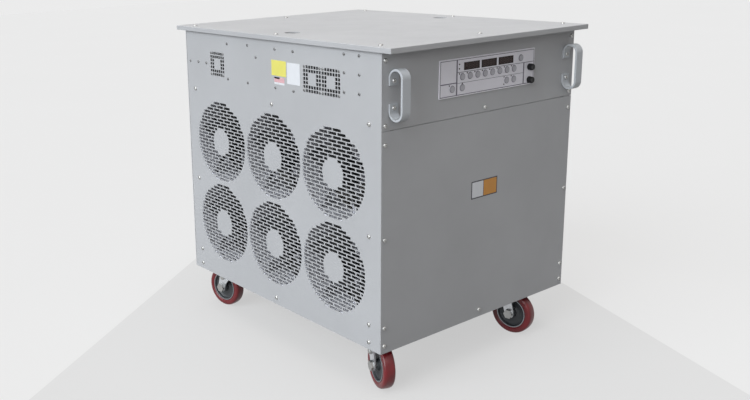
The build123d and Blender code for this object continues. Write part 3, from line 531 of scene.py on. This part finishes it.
def small_screws():
    """Small pan heads on the intake side, of the parts fixed behind the panel, and the vent corners."""
    bm = bmesh.new()
    # millimetres behind the front and above the skirt
    fixings = (
        (839, 670), (794, 671), (750, 671),
        (638, 736), (537, 739), (411, 738), (333, 738), (498, 709),
        (638, 634), (539, 633), (411, 634), (332, 633),
        (132, 748), (78, 748), (132, 702), (77, 702), (132, 654), (77, 655),
    )
    for y, z in fixings:
        add_screw(bm, side_place(front_y + y * MM, skirt_z + z * MM, left_x), *PAN_HEAD)
    for y, z in vent_centres:
        for sy in (-3, 3):
            for sz in (-3, 3):
                corner = side_place(y + sy * VENT_PITCH, z + sz * VENT_PITCH, left_x)
                add_screw(bm, corner, *CORNER_HEAD)
    to_object("small_screws", bm, dark_screws, smooth_angle=40)


small_screws()


# ------------------------------------------------------------------ blank labels
LABEL_THICKNESS = 0.35


def labels():
    """Blank label plates, in millimetres from the front or left and from the skirt."""

    def side_label(name, y0, y1, z0, z1, mat, r=1.5):
        bm = bmesh.new()
        plate(
            bm, (-(front_y + y1 * MM), skirt_z + z0 * MM, 0),
            (-(front_y + y0 * MM), skirt_z + z1 * MM, LABEL_THICKNESS * MM),
            r * MM, side_place(0, 0, left_x), 0.1 * MM,
        )
        to_object(name, bm, mat)

    side_label("blank_label_yellow", 363, 427, 667, 709, label_yellow)
    side_label("blank_label_white", 305, 359, 650, 707, label_white)
    side_label("blank_label_small_foot", 371, 415, 644, 649.4, label_white, 0.8)
    side_label("blank_label_small_body", 371, 415, 649.6, 663, label_pink, 0.8)
    side_label("blank_label_small_tab", 391, 415, 659, 663.6, label_blue, 0.8)

    def front_label(name, x0, x1, z0, z1, mat, r=1.5, proud=LABEL_THICKNESS):
        bm = bmesh.new()
        plate(
            bm, (left_x + x0 * MM, skirt_z + z0 * MM, 0),
            (left_x + x1 * MM, skirt_z + z1 * MM, proud * MM),
            r * MM, front_place(0, 0, front_y), 0.1 * MM,
        )
        to_object(name, bm, mat)

    front_label("blank_plate_border", 327, 431, 343, 391, label_ink)
    front_label("blank_plate_left", 330, 374, 346, 388, label_white, 1.5, 0.5)
    front_label("blank_plate_right", 376, 428, 346, 388, label_orange, 1.5, 0.5)


labels()


# ------------------------------------------------------------------ operator panel print
face_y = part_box("control_module")[0][1]


def rules(name, strips, mat, t=0.24):
    """Strips on the operator face: (x0, x1, z0, z1) in millimetres from the cabinet's left and the skirt."""
    bm = bmesh.new()
    for x0, x1, z0, z1 in strips:
        plate(
            bm, (left_x + x0 * MM, skirt_z + z0 * MM, 0),
            (left_x + x1 * MM, skirt_z + z1 * MM, t * MM),
            0.2 * MM, front_place(0, 0, face_y), 0.04 * MM, 1,
        )
    to_object(name, bm, mat)


FIRST_WINDOW, WINDOW_PITCH = 313, 67
DIGIT_LEVEL, DIGIT_PITCH = 701.5, 12.5
FIRST_KEY, KEY_PITCH = 278, 29


def operator_print():
    """Printed lines, unlit digits and lamps, in millimetres from the cabinet's left and the skirt."""
    # frame lines, dividers and row separators of the printed film
    rules("panel_lines", [
        (196.5, 563.5, 629.5, 631.5), (196.5, 198.0, 629.5, 720.5), (562.0, 563.5, 629.5, 720.5),
        (196.5, 563.5, 719.0, 720.5), (255.0, 259.5, 631, 720), (198, 255, 661.0, 663.5),
        (260, 521, 686.8, 688.3), (519.5, 523.5, 631, 688), (260, 519, 660.0, 661.0),
        (523, 562, 686.8, 688.3),
    ], line_ink)
    # painted highlight: a near-white strip along the lower edge of the film stands in for light catching the
    # module's lip
    rules("film_lip_painted_highlight", [(196.5, 563.5, 627.3, 629.3)], painted_lip_highlight, 0.5)
    # four seven-segment digits in each of the three windows, unlit
    bm = bmesh.new()
    for window in range(3):
        x_mid = FIRST_WINDOW + WINDOW_PITCH * window
        for digit in range(4):
            x = x_mid + (digit - 1.5) * DIGIT_PITCH
            for dx, dz, w, h in (
                (0, 6, 6, 1.0), (0, 0, 6, 1.0), (0, -6, 6, 1.0), (-3.6, 3, 1.0, 5), (3.6, 3, 1.0, 5),
                (-3.6, -3, 1.0, 5), (3.6, -3, 1.0, 5),
            ):
                z = DIGIT_LEVEL + dz
                plate(
                    bm, (left_x + (x + dx - w / 2) * MM, skirt_z + (z - h / 2) * MM, 0.0),
                    (left_x + (x + dx + w / 2) * MM, skirt_z + (z + h / 2) * MM, 0.08 * MM),
                    0.3 * MM, front_place(0, 0, face_y), 0.0, 1,
                )
    to_object("display_digits", bm, segment_dim)
    # indicator lamps beside the keys
    bm = bmesh.new()
    lamps = [(FIRST_KEY + KEY_PITCH * i - 11.5, 684.0) for i in range(8)]
    lamps += [(278, 659.0), (441, 657.5), (441, 638), (470, 657.5), (230, 657.5), (266, 697), (266, 708)]
    for x, z in lamps:
        lathe(
            bm, [(1.9 * MM, 0), (1.9 * MM, 0.5 * MM), (1.3 * MM, 0.85 * MM), (0, 1.0 * MM)],
            front_place(left_x + x * MM, skirt_z + z * MM, face_y), 16,
        )
    to_object("indicator_lamps", bm, led_dark, smooth_angle=50)


operator_print()


def detailed_keys():
    """Rounded key caps with a soft dished top and a darker rim, one for each CAD key."""
    for name in nodes:
        if not name.endswith("button") and not name.startswith("load_button"):
            continue
        low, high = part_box(name)
        r = (high[0] - low[0]) / 2
        depth = high[1] - low[1]
        bm = bmesh.new()
        place = front_place((low[0] + high[0]) / 2, (low[2] + high[2]) / 2, high[1])
        lathe(bm, [
            (0, 0), (r, 0), (r, depth - 0.9 * MM), (r - 0.25 * MM, depth - 0.35 * MM), (r - 0.8 * MM, depth),
            (r - 1.5 * MM, depth - 0.1 * MM),
        ], place, 40)
        lathe(bm, [
            (r - 1.5 * MM, depth - 0.1 * MM), (r - 1.9 * MM, depth - 0.3 * MM), (r * 0.5, depth - 0.45 * MM),
            (0, depth - 0.5 * MM),
        ], place, 40, 1)
        bmesh.ops.remove_doubles(bm, verts=bm.verts, dist=1e-6)
        obj = to_object(name + "_cap", bm, [key_grey, key_cap], "key_" + name, 40)
        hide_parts(name)


detailed_keys()


def fluted_caps():
    """Screw caps of the fuse holders: twelve grip flutes, a rounded rim and a shallow dimple in the end."""
    flutes, flute_depth, steps = 12, 0.085, 96
    for index in (1, 2):
        name = f"fuse_cap_{index}"
        low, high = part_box(name)
        radius, depth = (high[0] - low[0]) / 2, high[1] - low[1]
        place = front_place((low[0] + high[0]) / 2, (low[2] + high[2]) / 2, high[1])
        bm = bmesh.new()
        rings = []
        for r, h, flute in (
            (radius, 0.0, 0.0), (radius, depth * 0.16, 0.0), (radius * 0.97, depth * 0.20, 0.4),
            (radius * 0.95, depth * 0.26, 1.0), (radius * 0.93, depth * 0.88, 1.0),
            (radius * 0.88, depth * 0.96, 0.6), (radius * 0.80, depth, 0.0), (radius * 0.34, depth, 0.0),
        ):
            ring = []
            for k in range(steps):
                a = 2 * math.pi * k / steps
                cut = flute * flute_depth * radius * (0.5 - 0.5 * math.cos(flutes * a))
                point = Vector(((r - cut) * math.cos(a), (r - cut) * math.sin(a), h))
                ring.append(bm.verts.new(place @ point))
            rings.append(ring)
        for a_ring, b_ring in zip(rings, rings[1:]):
            for k in range(steps):
                j = (k + 1) % steps
                bm.faces.new((a_ring[k], a_ring[j], b_ring[j], b_ring[k]))
        bm.faces.new(list(reversed(rings[0])))
        centre = bm.verts.new(place @ Vector((0, 0, depth - 0.8 * MM)))
        for k in range(steps):
            bm.faces.new((rings[-1][k], rings[-1][(k + 1) % steps], centre))
        obj = to_object(name + "_fluted", bm, fuse_black, "holder_" + name, 40)
        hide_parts(name)


fluted_caps()


# ------------------------------------------------------------------ casters
def axle_place(corner):
    """Local Z along a wheel's axle, from the wheel's centre."""
    joint = joint_of["roll_" + corner]
    along = Vector(joint["axis"]).normalized()
    up = Vector((0, 0, 1))
    side = up.cross(along).normalized()
    x, y, z = joint["pos_m"]
    return Matrix((
        (side.x, up.x, along.x, x), (side.y, up.y, along.y, y), (side.z, up.z, along.z, z), (0, 0, 0, 1),
    ))


def both_sides(profile):
    """A (radius, height) profile from the middle outwards, with its mirror image before it."""
    return [(r, -h) for r, h in reversed(profile)] + profile


WHEEL_RADIUS, HALF_WIDTH, CORE_RADIUS = 63.5 * MM, 16.0 * MM, 45.5 * MM


def detailed_wheel(corner):
    place = axle_place(corner)
    rim, half, core = WHEEL_RADIUS, HALF_WIDTH, CORE_RADIUS
    bm = bmesh.new()
    lathe(bm, both_sides([
        (rim, 0.5 * MM), (rim - 0.1 * MM, 6.5 * MM), (rim - 0.5 * MM, 9.8 * MM), (rim - 1.4 * MM, 12.4 * MM),
        (rim - 2.9 * MM, 14.4 * MM), (rim - 4.9 * MM, 15.5 * MM), (rim - 7.5 * MM, half),
        (core + 5.5 * MM, half), (core + 3.6 * MM, half - 0.5 * MM), (core + 2.4 * MM, half - 1.6 * MM),
        (core, half - 1.9 * MM), (core, half - 3.2 * MM),
    ]), place, 96)
    tread = to_object("tread_" + corner, bm, tread_red, "wheel_" + corner, 35)
    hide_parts("wheel_tread_" + corner)

    bm = bmesh.new()
    lathe(bm, both_sides([
        (core, half - 1.2 * MM), (core - 0.5 * MM, half - 0.8 * MM), (core - 3.0 * MM, half - 0.7 * MM),
        (core - 4.2 * MM, half - 1.3 * MM), (core - 5.2 * MM, half - 3.0 * MM), (core - 6.4 * MM, 9.4 * MM),
        (core - 9.5 * MM, 7.3 * MM), (core - 15 * MM, 6.2 * MM), (core - 22 * MM, 6.0 * MM),
        (18.6 * MM, 6.8 * MM), (16.2 * MM, 8.4 * MM), (15.2 * MM, 11.0 * MM), (15 * MM, half - 1.0 * MM),
        (14.2 * MM, half), (9.4 * MM, half), (8.7 * MM, half - 0.6 * MM),
    ]), place, 72)
    hub = to_object("hub_" + corner, bm, wheel_iron, "wheel_" + corner, 35)
    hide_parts("wheel_hub_" + corner)

    # bright machined lips of the iron centre
    bm = bmesh.new()
    for sign in (-1, 1):
        lathe(bm, [
            (core - 0.3 * MM, sign * (half - 1.0 * MM)), (core - 0.5 * MM, sign * (half - 0.55 * MM)),
            (core - 2.8 * MM, sign * (half - 0.45 * MM)), (core - 3.1 * MM, sign * (half - 0.9 * MM)),
        ], place, 72)
    bmesh.ops.recalc_face_normals(bm, faces=bm.faces)
    to_object("hub_lips_" + corner, bm, hub_lip, "wheel_" + corner, 35)


for corner_name in ("front_left", "front_right", "rear_left", "rear_right"):
    detailed_wheel(corner_name)


# ------------------------------------------------------------------ stage, light and camera
# the floor meets two walls behind the load bank: its corner, and points far along both walls
FLOOR_WEDGE = [(1.490, 1.922), (-10.05, -6.00), (-10.05, -11.15), (-3.53, -11.15)]
FLOOR_GREY, WALL_GREY = 0.755, 0.835
GROUND_DIFFUSE, GROUND_LIGHT = 0.19, 1.12
WORLD_LIGHT = 0.17
BACKDROP_REACH, BACKDROP_LEVEL = 14, -0.002


def pale(name, seen_grey):
    """A matt pale ground: it takes part of the object's shadow, and shows its written grey to the camera."""
    mat, tree, bsdf = new_material(name, grey(GROUND_DIFFUSE), 0.95)
    bsdf.inputs["Specular IOR Level"].default_value = 0.0
    soft = ramp(
        tree, noise(tree, coords(tree), 1.3, 2.0),
        [(0.3, grey(GROUND_DIFFUSE * 0.99)), (0.7, grey(GROUND_DIFFUSE * 1.01))],
    )
    tree.links.new(soft, bsdf.inputs["Base Color"])
    glow = tree.nodes.new("ShaderNodeEmission")
    glow.inputs["Color"].default_value = (*grey(1.0), 1)
    tree.links.new(seen_rays(tree, seen_grey - GROUND_DIFFUSE * GROUND_LIGHT), glow.inputs["Strength"])
    both = tree.nodes.new("ShaderNodeAddShader")
    tree.links.new(bsdf.outputs[0], both.inputs[0])
    tree.links.new(glow.outputs[0], both.inputs[1])
    tree.links.new(both.outputs[0], tree.nodes["Material Output"].inputs["Surface"])
    return mat


def seen_rays(tree, amount=1.0):
    """The amount for camera, glossy and transmission rays, and none for rays that light the object."""
    path = tree.nodes.new("ShaderNodeLightPath")
    total = path.outputs["Is Camera Ray"]
    for ray in ("Is Glossy Ray", "Is Transmission Ray"):
        most = tree.nodes.new("ShaderNodeMath")
        most.operation = "MAXIMUM"
        tree.links.new(total, most.inputs[0])
        tree.links.new(path.outputs[ray], most.inputs[1])
        total = most.outputs[0]
    scaled = tree.nodes.new("ShaderNodeMath")
    scaled.operation = "MULTIPLY"
    tree.links.new(total, scaled.inputs[0])
    scaled.inputs[1].default_value = amount
    return scaled.outputs[0]


def ground(name, corners, z, mat):
    bm = bmesh.new()
    bm.faces.new([bm.verts.new((x, y, z)) for x, y in corners])
    to_object(name, bm, mat, None)


def stage():
    """The floor, the lighter ground of the walls just under it, and a world of the walls' grey."""
    ground("floor", FLOOR_WEDGE, 0.0, pale("floor_pale", FLOOR_GREY))
    reach = BACKDROP_REACH
    corners = [(-reach, -reach), (reach, -reach), (reach, reach), (-reach, reach)]
    ground("backdrop", corners, BACKDROP_LEVEL, pale("wall_pale", WALL_GREY))
    world = bpy.data.worlds.new("studio")
    bpy.context.scene.world = world
    world.use_nodes = True
    tree = world.node_tree
    background = tree.nodes["Background"]
    background.inputs["Color"].default_value = (1.0, 0.99, 0.98, 1)
    background.inputs["Strength"].default_value = WORLD_LIGHT
    seen = tree.nodes.new("ShaderNodeBackground")
    seen.inputs["Color"].default_value = (*grey(WALL_GREY), 1)
    seen.inputs["Strength"].default_value = 1.0
    mix = tree.nodes.new("ShaderNodeMixShader")
    tree.links.new(seen_rays(tree), mix.inputs[0])
    tree.links.new(background.outputs[0], mix.inputs[1])
    tree.links.new(seen.outputs[0], mix.inputs[2])
    tree.links.new(mix.outputs[0], tree.nodes["World Output"].inputs["Surface"])


stage()


def sun(name, direction, strength, spread, colour):
    """A broad even lamp that shines along a direction; a strength of 1 shows a colour as it is written."""
    light = bpy.data.lights.new(name, "SUN")
    light.energy = strength * math.pi
    light.angle = math.radians(spread)
    light.color = colour
    obj = bpy.data.objects.new(name, light)
    obj.location = (0, 0, 4)
    obj.rotation_euler = Vector(direction).to_track_quat("-Z", "Y").to_euler()
    bpy.context.scene.collection.objects.link(obj)


def soft_lamp():
    """A small soft lamp that lightens the upper left of the front."""
    light = bpy.data.lights.new("front_soft", "AREA")
    light.shape = "RECTANGLE"
    light.size, light.size_y = 1.6, 1.0
    light.energy = 5.0
    light.color = (1.0, 0.985, 0.965)
    obj = bpy.data.objects.new("front_soft", light)
    obj.location = (-1.0, -1.8, 1.5)
    obj.rotation_euler = (Vector((-0.1, -0.42, 0.8)) - obj.location).to_track_quat("-Z", "Y").to_euler()
    bpy.context.scene.collection.objects.link(obj)


sun("key_left", (0.88, 0.05, -0.46), 0.94, 50, (0.90, 0.955, 1.0))
soft_lamp()
sun("overhead", (0.05, -0.05, -1.0), 0.50, 60, (1.0, 0.965, 0.93))

# fitted to edges and screws of the photograph, with little shift so that the other views stay whole
camera_data = bpy.data.cameras.new("view")
camera = bpy.data.objects.new("view", camera_data)
bpy.context.scene.collection.objects.link(camera)
camera.matrix_world = Matrix((
    (0.7979152, 0.1612462, -0.5808021, -1.82387),
    (-0.6022395, 0.1728566, -0.7793767, -1.92989),
    (-0.0252762, 0.9716585, 0.2350338, 1.14727),
    (0, 0, 0, 1),
))
camera_data.lens = 42.9779
camera_data.shift_x = 0.14
camera_data.shift_y = -0.055
camera_data.clip_end = 60
bpy.context.scene.camera = camera
bpy.context.scene.view_settings.view_transform = "Standard"
